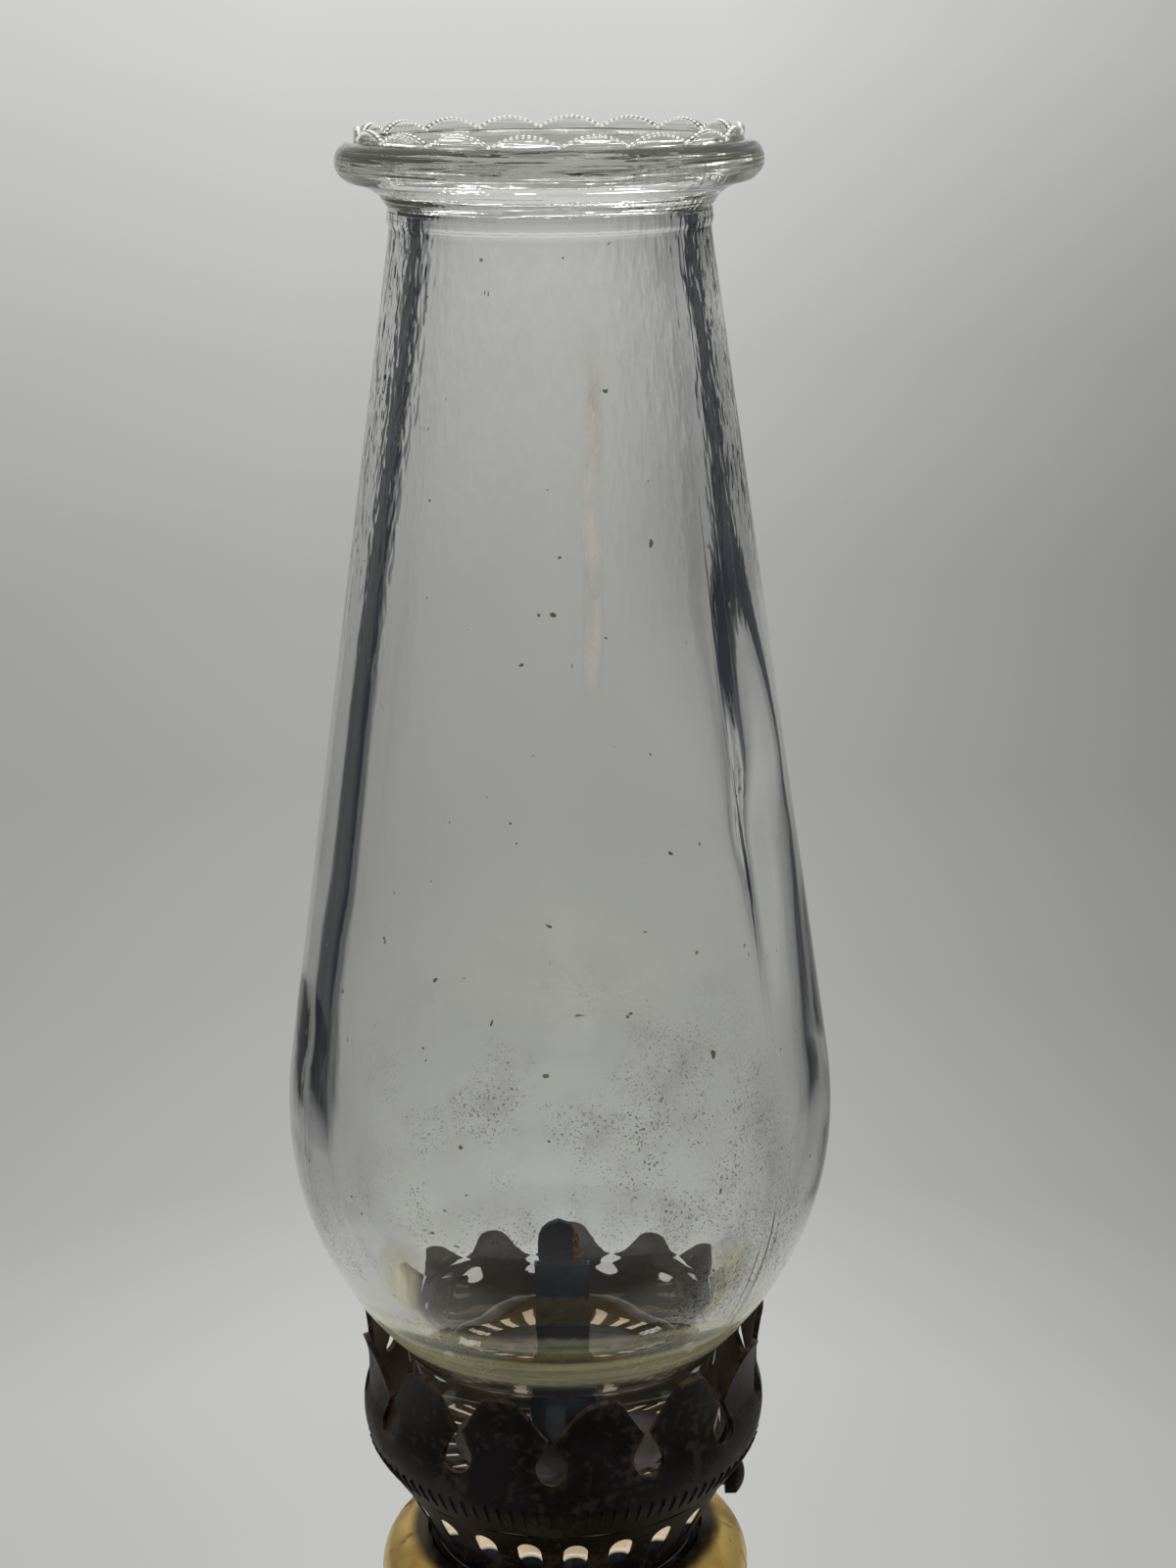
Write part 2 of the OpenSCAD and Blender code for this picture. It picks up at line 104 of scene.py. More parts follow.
# %% Wires and node makers
class Wire:
    """One output of a node. Arithmetic with it adds Math nodes to its tree."""

    def __init__(self, maker, socket):
        self.maker, self.socket = maker, socket

    def maths(self, operation, *values):
        sockets = dict(enumerate(values))
        return self.maker.node("ShaderNodeMath", {"operation": operation}, sockets)[0]

    def __add__(self, other):
        return self.maths("ADD", self, other)

    def __sub__(self, other):
        return self.maths("SUBTRACT", self, other)

    def __rsub__(self, other):
        return self.maths("SUBTRACT", other, self)

    def __mul__(self, other):
        return self.maths("MULTIPLY", self, other)

    def __truediv__(self, other):
        return self.maths("DIVIDE", self, other)

    def __rtruediv__(self, other):
        return self.maths("DIVIDE", other, self)

    def __pow__(self, other):
        return self.maths("POWER", self, other)

    __radd__, __rmul__ = __add__, __mul__

    def at_most(self, other):
        return self.maths("MINIMUM", self, other)

    def at_least(self, other):
        return self.maths("MAXIMUM", self, other)

    def ease(self, start, end):
        """0 before start, 1 after end, and a smooth step between them."""
        return self.maker.node("ShaderNodeMapRange", {"interpolation_type": "SMOOTHSTEP"},
                               {0: self, 1: start, 2: end, 3: 0.0, 4: 1.0})[0]


class Maker:
    """Fills a node tree. node() adds any node and returns its outputs as wires."""

    def __init__(self, tree):
        self.tree = tree
        tree.nodes.clear()

    def node(self, kind, settings=None, sockets=None):
        made = self.tree.nodes.new(kind)
        for name, value in (settings or {}).items():
            if name == "stops":
                ramp = made.color_ramp
                while len(ramp.elements) < len(value):
                    ramp.elements.new(1.0)
                for stop, (position, colour) in zip(ramp.elements, value):
                    stop.position, stop.color = position, colour
            else:
                setattr(made, name, value)
        for key, value in (sockets or {}).items():
            if isinstance(value, Wire):
                self.tree.links.new(value.socket, made.inputs[key])
            else:
                made.inputs[key].default_value = value
        return [Wire(self, out) for out in made.outputs]


def paint(red, green, blue):
    """A colour given as it should look, 0 to 255, as the linear values that light adds up in."""
    return tuple((v / 255) ** 2.2 for v in (red, green, blue)) + (1.0,)


print("a mid grey is", [round(v, 3) for v in paint(128, 128, 128)[:3]])

# %% [markdown]
# A finish starts from Object coordinates, so its pattern stays with the piece when the piece
# moves. The helpers here give noise at a size in millimetres, a colour mix, and a bump.

# %% Finish: a material under construction
class Finish(Maker):
    def __init__(self, name):
        self.material = bpy.data.materials.new(name)
        self.material.use_nodes = True
        super().__init__(self.material.node_tree)
        self.place = self.node("ShaderNodeTexCoord")[3]

    def axes(self):
        return self.node("ShaderNodeSeparateXYZ", {}, {0: self.place})

    def noise(self, size, detail=2.0, stretch=(1, 1, 1), shift=(0, 0, 0), swirl=0.0):
        where = self.node("ShaderNodeMapping", {}, {0: self.place, 1: shift, 3: stretch})[0]
        return self.node("ShaderNodeTexNoise", {},
                         {"Vector": where, "Scale": 1 / (size * MM), "Detail": detail,
                          "Distortion": swirl})[0]

    def mix(self, share, a, b):
        return self.node("ShaderNodeMix", {"data_type": "RGBA"}, {0: share, 6: a, 7: b})[2]

    def bump(self, height, depth, strength):
        sockets = {"Height": height, "Distance": depth * MM, "Strength": strength}
        return self.node("ShaderNodeBump", {}, sockets)[0]

    def principled(self, sockets):
        return self.node("ShaderNodeBsdfPrincipled", {}, sockets)[0]

    def finish(self, shader):
        self.node("ShaderNodeOutputMaterial", {}, {0: shader})
        return self.material


print("finish helpers ready")

# %% [markdown]
# The stage is a round, pale tent: a flat floor that curves up into a wall all the way round, so that
# every view has the same quiet background. Its grey changes with the distance from the lamp, and it
# falls away at the sides: both are painted shade on the cloth. The camera, and rays that pass
# through glass or off metal, see mostly that grey itself, and a share of plain diffuse keeps the
# lamp's shadow on the floor. Glass shows its edges only where it has something dark to bend into
# view, so rays through glass meet two dark strips, one on each diagonal behind the lamp. The wall
# takes no part in lighting the lamp, which is left to the world and the lamps.

# %% Stage
def dark_strips(x, y):
    """1 inside the two dark strips on the diagonals behind the lamp, 0 elsewhere."""
    angle = x.maths("ARCTAN2", y, x)
    across = (angle * 2).maths("SINE", angle * 2)
    return across.maths("ABSOLUTE", across).ease(0.86, 0.93) * y.ease(0.0, 0.1)


def tent_cloth():
    f = Finish("tent_cloth")
    x, y, z = f.axes()
    reach = (x * x + y * y) ** 0.5
    along = reach + z
    # The grey at each distance out along the floor and on up the wall, darker in a band farther out
    # and lighter up the wall: painted shade.
    greys = [(0.05, 185), (0.12, 185), (0.165, 188), (0.2, 181), (0.24, 170), (0.35, 162),
             (0.52, 157), (0.79, 166), (1.0, 177), (1.15, 186), (1.287, 201), (1.36, 209),
             (1.41, 216), (1.6, 233)]
    farthest = greys[-1][0]
    stops = [(distance / farthest, paint(g, g + 0.5, g - 3)) for distance, g in greys]
    ramp = f.node("ShaderNodeValToRGB", {"stops": stops}, {0: along * (1 / farthest)})[0]
    # How far to the side a spot lies, as a share of its distance from a point in front.
    turned = x / (reach + 0.26)
    # How fast the painted shade on the right side deepens: faster farther out, slower higher up.
    fall = reach.ease(0.1, 0.2) * 0.6 + reach.ease(0.2, 0.36) * 0.35 + reach.ease(0.3, 0.9) * 0.5
    fall = fall - z.ease(0.05, 0.18) * 0.4 + 0.85
    right, left = (turned - 0.05).at_least(0.0), (0 - turned - 0.1).at_least(0.0)
    side = (1 - right * fall - left * 0.85).at_least(0.55)
    through = f.node("ShaderNodeLightPath")
    is_camera, is_glossy, is_through = through[0], through[3], through[6]
    strips = dark_strips(x, y) * is_through.at_least(is_glossy * 0.5)
    strips = strips * reach.ease(0.3, 0.37) * (1 - z.ease(0.4, 0.6))
    # Metal that faces forward mirrors a floor painted darker, as it would be with someone standing
    # there, and darker still close in front of the foot: painted shade in a reflection.
    under_foot = (1 - reach.ease(0.06, 0.2)) * (0 - y).ease(0.0, 0.04) * 0.9
    below = ((0 - y).ease(-0.1, 0.25) * 0.7).at_least(under_foot) * is_glossy
    light = side * (1 - below)
    grey = f.node("ShaderNodeVectorMath", {"operation": "SCALE"}, {0: ramp, 3: light})[0]
    grey = f.mix(strips * 0.985, grey, paint(5, 20, 36))
    seen = is_camera.at_least(is_glossy).at_least(is_through) * 0.7
    plain = f.node("ShaderNodeBsdfDiffuse", {}, {0: grey})[0]
    lit = f.node("ShaderNodeEmission", {}, {0: grey, 1: 1.0})[0]
    return f.finish(f.node("ShaderNodeMixShader", {}, {0: seen, 1: plain, 2: lit})[0])


def revolve(profile, steps):
    """Rings of points, one for each (radius, height) of a profile."""
    turn = np.linspace(0, 2 * math.pi, steps, endpoint=False)
    r, z = np.array(profile, float).T
    return np.stack([r[:, None] * np.sin(turn), -r[:, None] * np.cos(turn),
                     np.repeat(z[:, None], steps, 1)], -1)


def grid_faces(rows, columns, close_rows=False):
    """Four-sided faces between neighbouring rings; close_rows joins the last ring to the first."""
    i = np.arange(rows if close_rows else rows - 1)[:, None] * columns
    j = np.arange(columns)[None]
    k = (j + 1) % columns
    up = (i + columns) % (rows * columns)
    return np.stack([i + j, i + k, up + k, up + j], -1).reshape(-1, 4)


def outward(points, faces):
    """The same faces, turned round if they look into the solid."""
    a, b, c, d = (points[faces[:, n]] for n in range(4))
    volume = (np.cross(b - a, c - a) * a).sum() + (np.cross(c - a, d - a) * a).sum()
    return faces if volume > 0 else faces[:, ::-1]


def make_piece(name, points, faces, finish, sharp=None):
    """A mesh object from points in millimetres, smooth apart from edges sharper than the angle."""
    mesh = bpy.data.meshes.new(name)
    mesh.from_pydata((np.asarray(points).reshape(-1, 3) * MM).tolist(), [],
                     [tuple(int(v) for v in face) for face in faces])
    mesh.update()
    mesh.shade_smooth()
    if sharp:
        mesh.set_sharp_from_angle(angle=math.radians(sharp))
    mesh.materials.append(finish)
    piece = bpy.data.objects.new(name, mesh)
    bpy.context.scene.collection.objects.link(piece)
    return piece


floor_r, curve_r, wall_top, stage_steps = 950, 300, 1300, 96
wall_r = floor_r + curve_r
cloth = tent_cloth()
floor_profile = [(0.5, 0), (60, 0), (200, 0), (500, 0), (floor_r, 0)]
floor_faces = grid_faces(len(floor_profile), stage_steps)[:, ::-1]
floor = make_piece("floor", revolve(floor_profile, stage_steps), floor_faces, cloth)
curve = [(floor_r + curve_r * math.sin(a), curve_r - curve_r * math.cos(a))
         for a in np.linspace(0, math.pi / 2, 16)]
wall_profile = curve + [(wall_r, 600), (wall_r, wall_top)]
wall_faces = grid_faces(len(wall_profile), stage_steps)[:, ::-1]
backdrop = make_piece("backdrop", revolve(wall_profile, stage_steps), wall_faces, cloth)
backdrop.visible_diffuse = False
backdrop.visible_shadow = False
print("stage reaches", wall_profile[-1], "mm")

# %% [markdown]
# The light is soft and plain: an even world, one large lamp high behind the oil lamp, and a
# weaker one at each side. Bright window-like panels would show as hard shapes in the brass, so
# metal doesn't mirror the lamps, and only the one behind is seen through glass. The world is a
# little brighter where it is looked at than where it gives light.

# %% Light
world = bpy.data.worlds.new("world")
bpy.context.scene.world = world
world.use_nodes = True
sky = Maker(world.node_tree)
seen_straight = sky.node("ShaderNodeLightPath")[0]
sky_grey = sky.node("ShaderNodeMix", {"data_type": "RGBA"},
                    {0: seen_straight, 6: (0.55, 0.56, 0.58, 1), 7: (0.66, 0.66, 0.67, 1)})[2]
background = sky.node("ShaderNodeBackground", {}, {0: sky_grey, 1: 1.0})[0]
sky.node("ShaderNodeOutputWorld", {}, {0: background})


def soft_lamp(name, place, size, watts, target=(0, 0, 0.12)):
    data = bpy.data.lights.new(name, "AREA")
    data.shape, data.size, data.size_y = "RECTANGLE", size[0], size[1]
    data.energy = watts
    lamp = bpy.data.objects.new(name, data)
    lamp.location = place
    lamp.rotation_mode = "QUATERNION"
    lamp.rotation_quaternion = (Vector(target) - Vector(place)).to_track_quat("-Z", "Y")
    lamp.visible_glossy = lamp.visible_transmission = False
    bpy.context.scene.collection.objects.link(lamp)
    return lamp


top_back = soft_lamp("top_back", (0.1, 0.55, 0.95), (0.7, 0.5), 7.0)
top_back.visible_transmission = True
soft_lamp("left", (-0.75, -0.1, 0.45), (0.4, 0.6), 2.0)
soft_lamp("right", (0.75, 0.0, 0.45), (0.4, 0.6), 2.6)

# %% [markdown]
# The glass is clear, a little green, and not clean. Real pressed glass has fine upright streaks
# where the plunger dragged it, strongest near the top, a seam where the mould closed, and grooves
# round the crimped brim. These are a bump. Soot specks and film low in the bulb, a faint coat above
# the foot, a dark band at the very foot and a pale upright streak high up are a dull coat that a Mix
# Shader lays over the glass. The same coat carries a painted glow: a pale olive band low on the
# bulb's front, where the thick glass would bend light into view. To shadow rays the glass is plain
# transparent, so its shadow is faint.

# %% Clear pressed glass
def pressed_glass():
    f = Finish("pressed_glass")
    x, y, z = f.axes()
    height = z * (1 / MM)
    drag = f.noise(0.75, 1.0, stretch=(1, 1, 0.28))
    waves = f.noise(5, 0.0, stretch=(1, 1, 0.10), shift=(7, 3, 1))
    upper = height.ease(150, 198)
    brim = height.ease(200, 201.5)
    grooves = f.noise(0.55, 1.0, stretch=(0.05, 0.05, 1), shift=(6, 1, 4))
    turn, seam_turn = x.maths("ARCTAN2", x, 0 - y), math.radians(52.4)
    seam = 1 - turn.maths("ABSOLUTE", turn - seam_turn).ease(0.002, 0.012)
    relief = grooves * brim * 5 + drag * (upper * 0.9 + 0.03) + waves * 0.35 * height.ease(100, 130)
    relief = relief + seam * (0.12 + (1 - height.ease(98, 112)) * 0.25)
    streaks = f.bump(relief, 0.045, 1.0)
    body = f.mix(height.ease(110, 175), (0.94, 0.945, 0.935, 1), (0.987, 0.988, 0.986, 1))
    glass = f.principled({"Base Color": body, "Roughness": 0.0, "IOR": 1.5,
                          "Transmission Weight": 1.0, "Normal": streaks})
    lower = (1 - height.ease(95, 150)) * height.ease(86, 92)
    clouds = (f.noise(9, 3.0, shift=(2, 5, 9)) + x.ease(-0.004, 0.016) * 0.07 - 0.03).ease(0.46, 0.6)
    clouds = clouds * (1 - height.ease(100, 124))
    specks = f.noise(0.3, 1.0, shift=(4, 1, 2)).ease(0.61, 0.7)
    rare = f.noise(1.1, 0.0, shift=(9, 9, 3)).ease(0.868, 0.885)
    film = f.noise(5, 4.0, shift=(1, 8, 4)).ease(0.45, 0.8)
    # A pale olive band round the bulb's lower front, with faint level lines in it: painted glow,
    # standing in for light that the thick glass bends into view.
    rings = f.noise(1.2, 2.0, stretch=(0.06, 0.06, 1), shift=(2, 2, 2)).ease(0.35, 0.65)
    ring = height.ease(90.2, 91.4) * (1 - height.ease(94.4, 95.4)) * (0 - y).ease(-0.008, 0.004)
    grime_and_glow = height.ease(79.5, 81) * (1 - height.ease(83, 89)) * 0.08 + ring * (rings * 0.3 + 0.35)
    # A pale upright streak high on the bulb's front, painted into the coat.
    pale_streak_x = 0.0036
    line = x.maths("ABSOLUTE", x - pale_streak_x)
    patchy = f.noise(2.2, 4.0, stretch=(1, 1, 0.25), shift=(3, 3, 6)).ease(0.38, 0.62)
    pale_streak = (1 - line.ease(0.0001, 0.0011)) * (0 - y).ease(0.0, 0.004)
    pale_streak = pale_streak * height.ease(156, 166) * (1 - height.ease(184, 192)) * patchy * 0.5
    soot = (specks * 0.7 + film * 0.14) * clouds * lower + rare * 0.9
    # The soot amount here also takes in the painted glow band and the pale streak.
    soot = soot + film * (0.008 + lower * 0.04) + grime_and_glow + pale_streak
    foot = 1 - height.ease(77.4, 78.6)
    soot = soot + brim * 0.07 + foot * 0.8
    dull = f.mix(clouds, paint(112, 98, 78), paint(46, 38, 32))
    # The painted glow's pale olive colour.
    glow_colour = f.mix(ring, paint(120, 112, 92), paint(176, 168, 134))
    dull = f.mix(grime_and_glow.ease(0.05, 0.2), dull, glow_colour)
    dull = f.mix(pale_streak.ease(0.0, 0.1), dull, paint(236, 214, 200))
    dull = f.mix(foot, dull, paint(44, 38, 33))
    dull = f.mix(brim, dull, paint(196, 198, 176))
    dust_and_glow = f.principled({"Base Color": dull, "Roughness": 0.9})
    glass_under_dust_and_glow = f.node("ShaderNodeMixShader", {}, {0: soot.at_most(0.9), 1: glass, 2: dust_and_glow})[0]
    clear = f.node("ShaderNodeBsdfTransparent", {}, {0: (0.93, 0.95, 0.93, 1)})[0]
    is_shadow = f.node("ShaderNodeLightPath")[1]
    seen = f.node("ShaderNodeMixShader", {}, {0: is_shadow, 1: glass_under_dust_and_glow, 2: clear})[0]
    olive = f.node("ShaderNodeVolumeAbsorption", {}, {0: (0.81, 0.815, 0.77, 1), 1: 35.0})[0]
    f.node("ShaderNodeOutputMaterial", {}, {0: seen, 1: olive})
    return f.material


glass_finish = pressed_glass()
print("finish:", glass_finish.name)

# %% [markdown]
# Old burner brass has gone nearly black, with a violet bloom and rusty brown patches, and it is
# bright only where an edge has rubbed. `edge` is an attribute that a mesh can carry: 1 at a cut edge
# and 0 away from it. A mesh that has no such attribute reads 0. The side that looks in at the axis
# has a lighter colour: brown in the crown, and bare tin in the basket and under the plate. The tin
# also glows a little, which is painted light inside the dark burner. Which side a face looks to is
# read from its normal in Object coordinates.

# %% Dark tarnished brass
black = (0, 0, 0, 1)
# The basket's wall leans out: its radius at the foot, and how much it grows with the height.
basket_low_r, basket_slope = 13.2, 4.3 / 8.4
# Heights where the pressed flutes start to show blue-grey, a painted dark reflection, and where the
# lip above them is painted pale, a painted highlight.
flute_reflection_z, painted_highlight_z = 68.2, 69.7


def tarnished_brass(name, lift=1.0, shine=0.42, bloom_and_reflection=0.35, rust=0.25, metal=0.85,
                    tone=(1, 1, 1), inside=None):
    f = Finish(name)

    def tint(red, green, blue):
        return paint(red * lift * tone[0], green * lift * tone[1], blue * lift * tone[2])

    broad = f.noise(7, 3.0)
    fine = f.noise(0.8, 3.0, shift=(3, 1, 7))
    grit = f.noise(0.16, 2.0, shift=(5, 5, 5))
    colour = f.mix(broad.ease(0.42, 0.66) * bloom_and_reflection, tint(42, 39, 36), tint(62, 56, 61))
    patches = (fine * 0.6 + f.noise(4, 2.0, shift=(8, 2, 6)) * 0.6).ease(0.60, 0.72)
    colour = f.mix(patches * rust, colour, tint(70, 52, 37))
    edge = f.node("ShaderNodeAttribute", {"attribute_name": "edge"})[2]
    worn = edge * fine.ease(0.34, 0.6)
    colour = f.mix(worn * 0.45, colour, paint(88, 68, 48))
    rough = (shine + grit * 0.18 + patches * 0.2).at_most(0.95)
    dents = f.bump(broad * 0.7 + fine * 0.3 + grit * 0.08, 0.09, 0.6)
    metallic = metal - patches * 0.4
    if inside:
        x, y, z = f.axes()
        nx, ny, nz = f.node("ShaderNodeSeparateXYZ", {}, {0: f.node("ShaderNodeTexCoord")[1]})
        reach = (x * x + y * y) ** 0.5
        facing = ((0 - x * nx - y * ny) / reach).ease(0.3, 0.5)
        pan = nz.ease(0.6, 0.8) * (1 - reach.ease(0.0128, 0.0134)) * inside["floor"]
        under = (0 - nz).ease(0.6, 0.8) * inside["ceiling"]
        share = facing.at_least(pan.at_least(under))
        if inside.get("flutes"):
            wall = (z / MM - low("air_basket")) * basket_slope + basket_low_r
            inset = (wall - reach / MM).ease(0.15, 0.3)
            # Just under each mouth the flute's top is painted pale like the tin lining, and glows
            # with it: a painted highlight.
            painted_highlight_lip = inset * (z / MM).ease(painted_highlight_z, painted_highlight_z + 0.3)
            share = share.at_least(painted_highlight_lip)
            # Lower down the flutes are painted blue-grey: a painted reflection of the dark round
            # them.
            flute_reflection = inset * (z / MM).ease(flute_reflection_z, flute_reflection_z + 1)
            colour = f.mix(flute_reflection, colour, paint(64, 72, 82))
        lining = f.mix(broad.ease(0.4, 0.6), inside["colour"], inside["shadow"])
        colour = f.mix(share, colour, lining)
        rough = rough * (1 - share) + share * inside["roughness"]
        metallic = metallic * (1 - share) + share * inside["metallic"]
        painted_glow = f.mix(share, black, inside["painted_glow"])
        return f.finish(f.principled({"Base Color": colour, "Metallic": metallic,
                                      "Roughness": rough, "Normal": dents,
                                      "Emission Color": painted_glow, "Emission Strength": 1.0}))
    return f.finish(f.principled({"Base Color": colour, "Metallic": metallic, "Roughness": rough,
                                  "Normal": dents}))


# The tin lining also glows a little: painted light inside the burner, where little lamp light
# reaches.
bare_tin = {"colour": paint(248, 242, 232), "shadow": paint(238, 226, 208), "roughness": 0.35,
            "metallic": 0.3, "floor": 1.0, "ceiling": 1.0, "painted_glow": paint(110, 102, 92)}
dull_brown = {"colour": paint(80, 69, 56), "shadow": paint(66, 54, 44), "roughness": 0.6,
              "metallic": 0.3, "floor": 0.0, "ceiling": 0.0, "painted_glow": black}
dark_finish = tarnished_brass("tarnished_brass")
crown_finish = tarnished_brass("crown_brass", inside=dull_brown)
# The plate's lighter, more violet colour is a painted reflection of the wick tube in its middle.
plate_finish = tarnished_brass("plate_bloom_and_reflection", 1.25, 0.3, 0.95, 0.1, metal=0.6,
                               inside=dict(bare_tin, floor=0.0))
basket_finish = tarnished_brass("basket_brass", 1.05, 0.45, 0.3, 0.4,
                                inside=dict(bare_tin, flutes=True))
tube_finish = tarnished_brass("tube_brass", 1.35, 0.55, 0.2, 0.1, metal=0.5,
                              tone=(0.7, 1.0, 1.38))
print("finishes:", dark_finish.name, crown_finish.name, plate_finish.name, basket_finish.name)

# %% [markdown]
# The font was polished once. It is still yellow, but brown spots have eaten into it, and the spots
# are dull and a little sunken. Close round the burner it is painted dark: a painted reflection of
# the dark burner, and painted shade under it.

# %% Yellow brass of the font and foot
def font_brass():
    f = Finish("font_brass")
    broad = f.noise(6, 3.0, shift=(1, 2, 3))
    spots = f.noise(2.6, 4.0, shift=(6, 3, 8), swirl=0.4)
    pits = f.noise(0.5, 2.0, shift=(2, 9, 4))
    grit = f.noise(0.12, 1.0)
    yellow = f.mix(broad.ease(0.35, 0.7), paint(224, 190, 108), paint(176, 138, 68))
    stains = spots.ease(0.53, 0.72)
    colour = f.mix(stains * 0.9, yellow, paint(100, 68, 36))
    dots = pits.ease(0.68, 0.74)
    colour = f.mix(dots * 0.8, colour, paint(70, 42, 22))
    x, y, z = f.axes()
    reach = (x * x + y * y) ** 0.5 / MM
    # Close round the burner the colour is painted dark: a painted reflection of the dark burner in
    # the brass, and painted shade under it.
    burner_shade_and_reflection = (1 - reach.ease(15.2, 16.6)) * (z / MM).ease(60, 62)
    colour = f.mix(burner_shade_and_reflection * 0.95, colour, paint(38, 33, 28))
    rough = 0.24 + stains * 0.3 + grit * 0.12 + dots * 0.2
    dents = f.bump(broad * 0.5 - stains * 0.25 - dots * 0.4 + grit * 0.05, 0.1, 0.6)
    return f.finish(f.principled({"Base Color": colour, "Metallic": 0.8 - stains * 0.45,
                                  "Roughness": rough, "Normal": dents}))


yellow_finish = font_brass()
print("finish:", yellow_finish.name)

# %% [markdown]
# The wick is a flat cotton braid. Its top is burnt to soft black char, with one scorched brown
# strip at the right, and the cotton below is still pale.

# %% Braided wick
def braided_wick():
    f = Finish("braided_wick")
    x, y, z = f.axes()
    height = z * (1 / MM)
    grain = f.noise(0.35, 3.0)
    char = height.ease(tube_top - 3, tube_top + 1.5)
    cotton = f.mix(grain, paint(150, 138, 112), paint(104, 92, 72))
    soot = f.mix(grain.ease(0.3, 0.7), paint(12, 17, 23), paint(24, 29, 36))
    colour = f.mix(char, cotton, soot)
    scorch = f.mix(grain.ease(0.4, 0.6), paint(54, 42, 34), paint(116, 76, 48))
    scorched = (x * (1 / MM) + f.noise(0.8, 2.0) * 0.5).ease(1.25, 1.6) * height.ease(94, 96)
    colour = f.mix(scorched, colour, scorch)
    rough = 0.95 - char * 0.15
    fuzz = f.bump(grain, 0.12, 0.9)
    return f.finish(f.principled({"Base Color": colour, "Roughness": rough, "Normal": fuzz}))


wick_finish = braided_wick()
print("finish:", wick_finish.name)

# %% [markdown]
# The chimney is one closed skin. Its half profile runs up the outside, over the crimped edge and
# down the inside, and is turned round the axis. Old glass is never even, and where its wall
# thickens or thins it bends the dark strips and the burner into other places. So the wall has a
# thickness by height at the left, at the right and at the front, and one upright rib beside the
# mould seam. The back is as the front.

# %% Chimney profile
bulb_r, bulb_z = 27.0, 36.5
low_rad, top_rad, lean = 33.5, 40.0, math.radians(8.37)
fitter_r = 15.9
# A small step runs round the glass just under the flange. Above neck_z the bore eases to
# mouth_r at the brim.
step_z, step_h, step_soft = 122.9, 0.36, 0.16
neck_z, mouth_r = 124.5, 15.35
lobes, lobe_h, crimp_r = 18, 1.0, 16.9
peak_turn = math.radians(3.8)
glass_h = glass_top - glass_z
turns = 324


def wall_outside(z):
    """Outer radius of the chimney at a height above its foot."""
    z = np.asarray(z, float)
    bowl = bulb_r - low_rad + np.sqrt(np.maximum(low_rad ** 2 - (z - bulb_z) ** 2, 0))
    dome = bulb_r - top_rad + np.sqrt(np.maximum(top_rad ** 2 - (z - bulb_z) ** 2, 0))
    knee = bulb_z + top_rad * math.sin(lean)
    cone = bulb_r - top_rad * (1 - math.cos(lean)) - (z - knee) * math.tan(lean)
    body = np.where(z < bulb_z, bowl, np.where(z < knee, dome, cone))
    soft = 0.35
    r = np.where(z < bulb_z, soft * np.logaddexp(fitter_r / soft, body / soft), body)
    return r + step_h / (1 + np.exp(-(z - step_z) / step_soft))


def eased(z, heights, depths):
    """Thickness between given heights, with the corners of the broken line smoothed away."""
    fine = np.arange(-4, 136, 0.1)
    line = np.interp(fine, heights, depths)
    window = np.hanning(19)
    line = np.convolve(np.pad(line, 9, "edge"), window / window.sum(), "valid")
    return np.interp(z, fine, line)


def wall_depth(z, angle):
    """Thickness of the wall; angle 0 is the front and a quarter turn is the right."""
    left = np.maximum(-np.sin(angle), 0) ** 2
    right = np.maximum(np.sin(angle), 0) ** 2
    front = np.cos(angle) ** 2
    at_left = eased(z, [0, 9, 15, 22, 28, 34, 39, 44, 50, 56, 60, 107, 116, 124],
                    [1.9, 2.2, 2.3, 2.5, 2.7, 2.85, 2.95, 2.95, 2.85, 2.95, 3.08, 3.08, 3.08, 2.9])
    at_right = eased(z, [0, 9, 15, 20, 28, 36, 45, 54, 60, 65,
                         70, 76, 82, 88, 97, 102, 112, 118, 124],
                     [1.9, 2.2, 2.2, 2.2, 2.1, 2.0, 1.95, 1.65, 1.4, 1.35,
                      1.7, 2.2, 2.75, 3.15, 3.05, 2.8, 2.65, 2.8, 2.3])
    at_front = eased(z, [0, 6, 9, 11, 13, 15, 17, 19, 21,
                         23, 25, 28, 31, 35, 40, 60, 80, 125],
                     [1.54, 2.27, 2.59, 3.02, 3.11, 3.11, 3.13, 3.34, 2.99,
                      2.65, 2.38, 1.95, 1.68, 1.72, 1.83, 2.3, 2.7, 2.5])
    # The rib's place and width are in degrees round from the front.
    rib_at = np.interp(z, [68, 74], [56, 62])
    rib_wide = np.interp(z, [56, 66, 75], [3.5, 5.5, 11])
    rib = np.exp(-((np.degrees(angle) - rib_at) / rib_wide) ** 2)
    rib_h = eased(z, [50, 58, 63, 68, 73, 79, 86, 96], [0, 0.25, 0.5, 0.7, 0.8, 0.6, 0.3, 0])
    return at_left * left + at_right * right + at_front * front + rib * rib_h


def crimp_drop(angle):
    """How far the crimped edge lies below its peaks at an angle."""
    pitch = 2 * math.pi / lobes
    off = (angle - math.pi / 2 - peak_turn + math.pi + pitch / 2) % pitch - pitch / 2
    half = crimp_r * pitch / 2
    radius = (half ** 2 + lobe_h ** 2) / (2 * lobe_h)
    return radius - np.sqrt(radius ** 2 - (crimp_r * off) ** 2)


print("bulb is", 2 * float(wall_outside(bulb_z)), "mm across")

